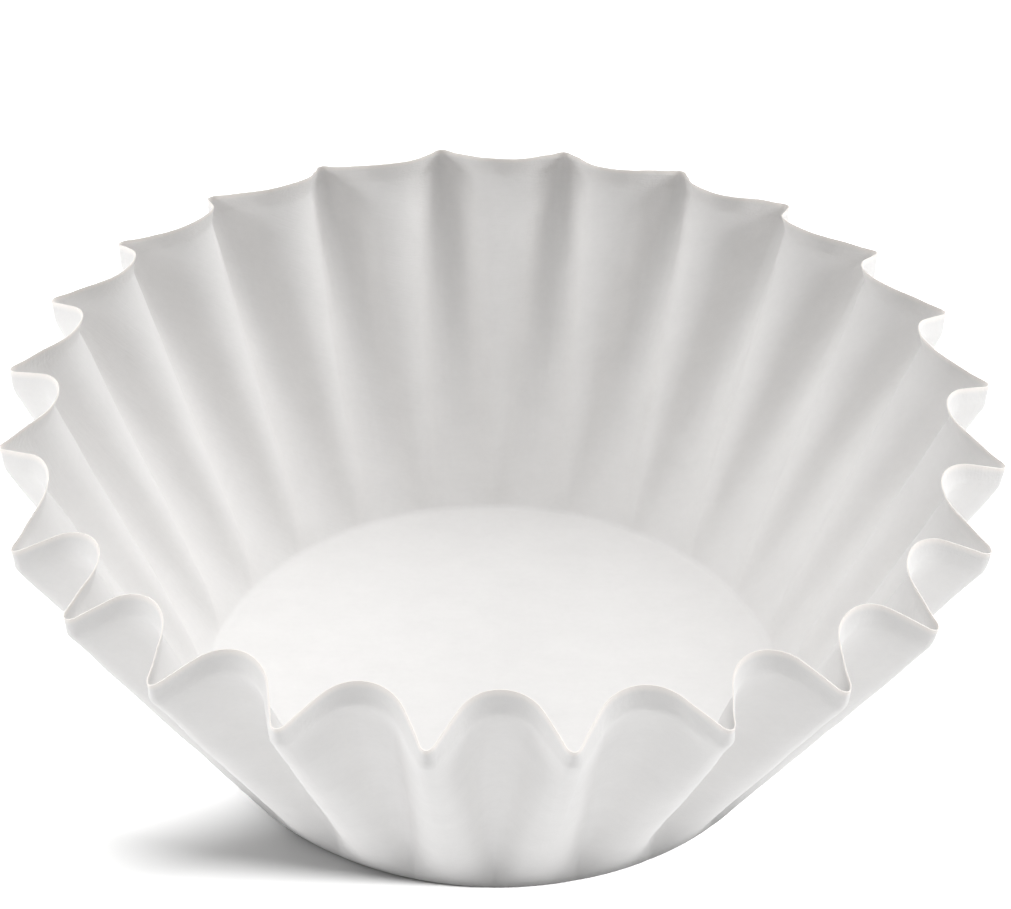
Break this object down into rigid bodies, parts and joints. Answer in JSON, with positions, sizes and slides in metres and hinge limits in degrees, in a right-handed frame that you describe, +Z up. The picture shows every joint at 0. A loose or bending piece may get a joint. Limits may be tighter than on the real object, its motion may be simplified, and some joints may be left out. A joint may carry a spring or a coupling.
{
  "type": "paper coffee filter",
  "caption": "Basket-style paper coffee filter: a flat round base and a fluted wall that flares out to an open, wavy rim.",
  "frame": {"origin": "middle of the base's underside, which rests on the table", "axes": "+Z up along the filter's round axis, towards the open rim; -Y towards the camera, with an inner fold of the wall facing it"},
  "size_m": [0.1724, 0.1724, 0.0654],
  "materials": {
    "filter_paper": "matte"
  },
  "bodies": {
    "root": {"filter_paper": "filter_paper"}
  },
  "joints": []
}
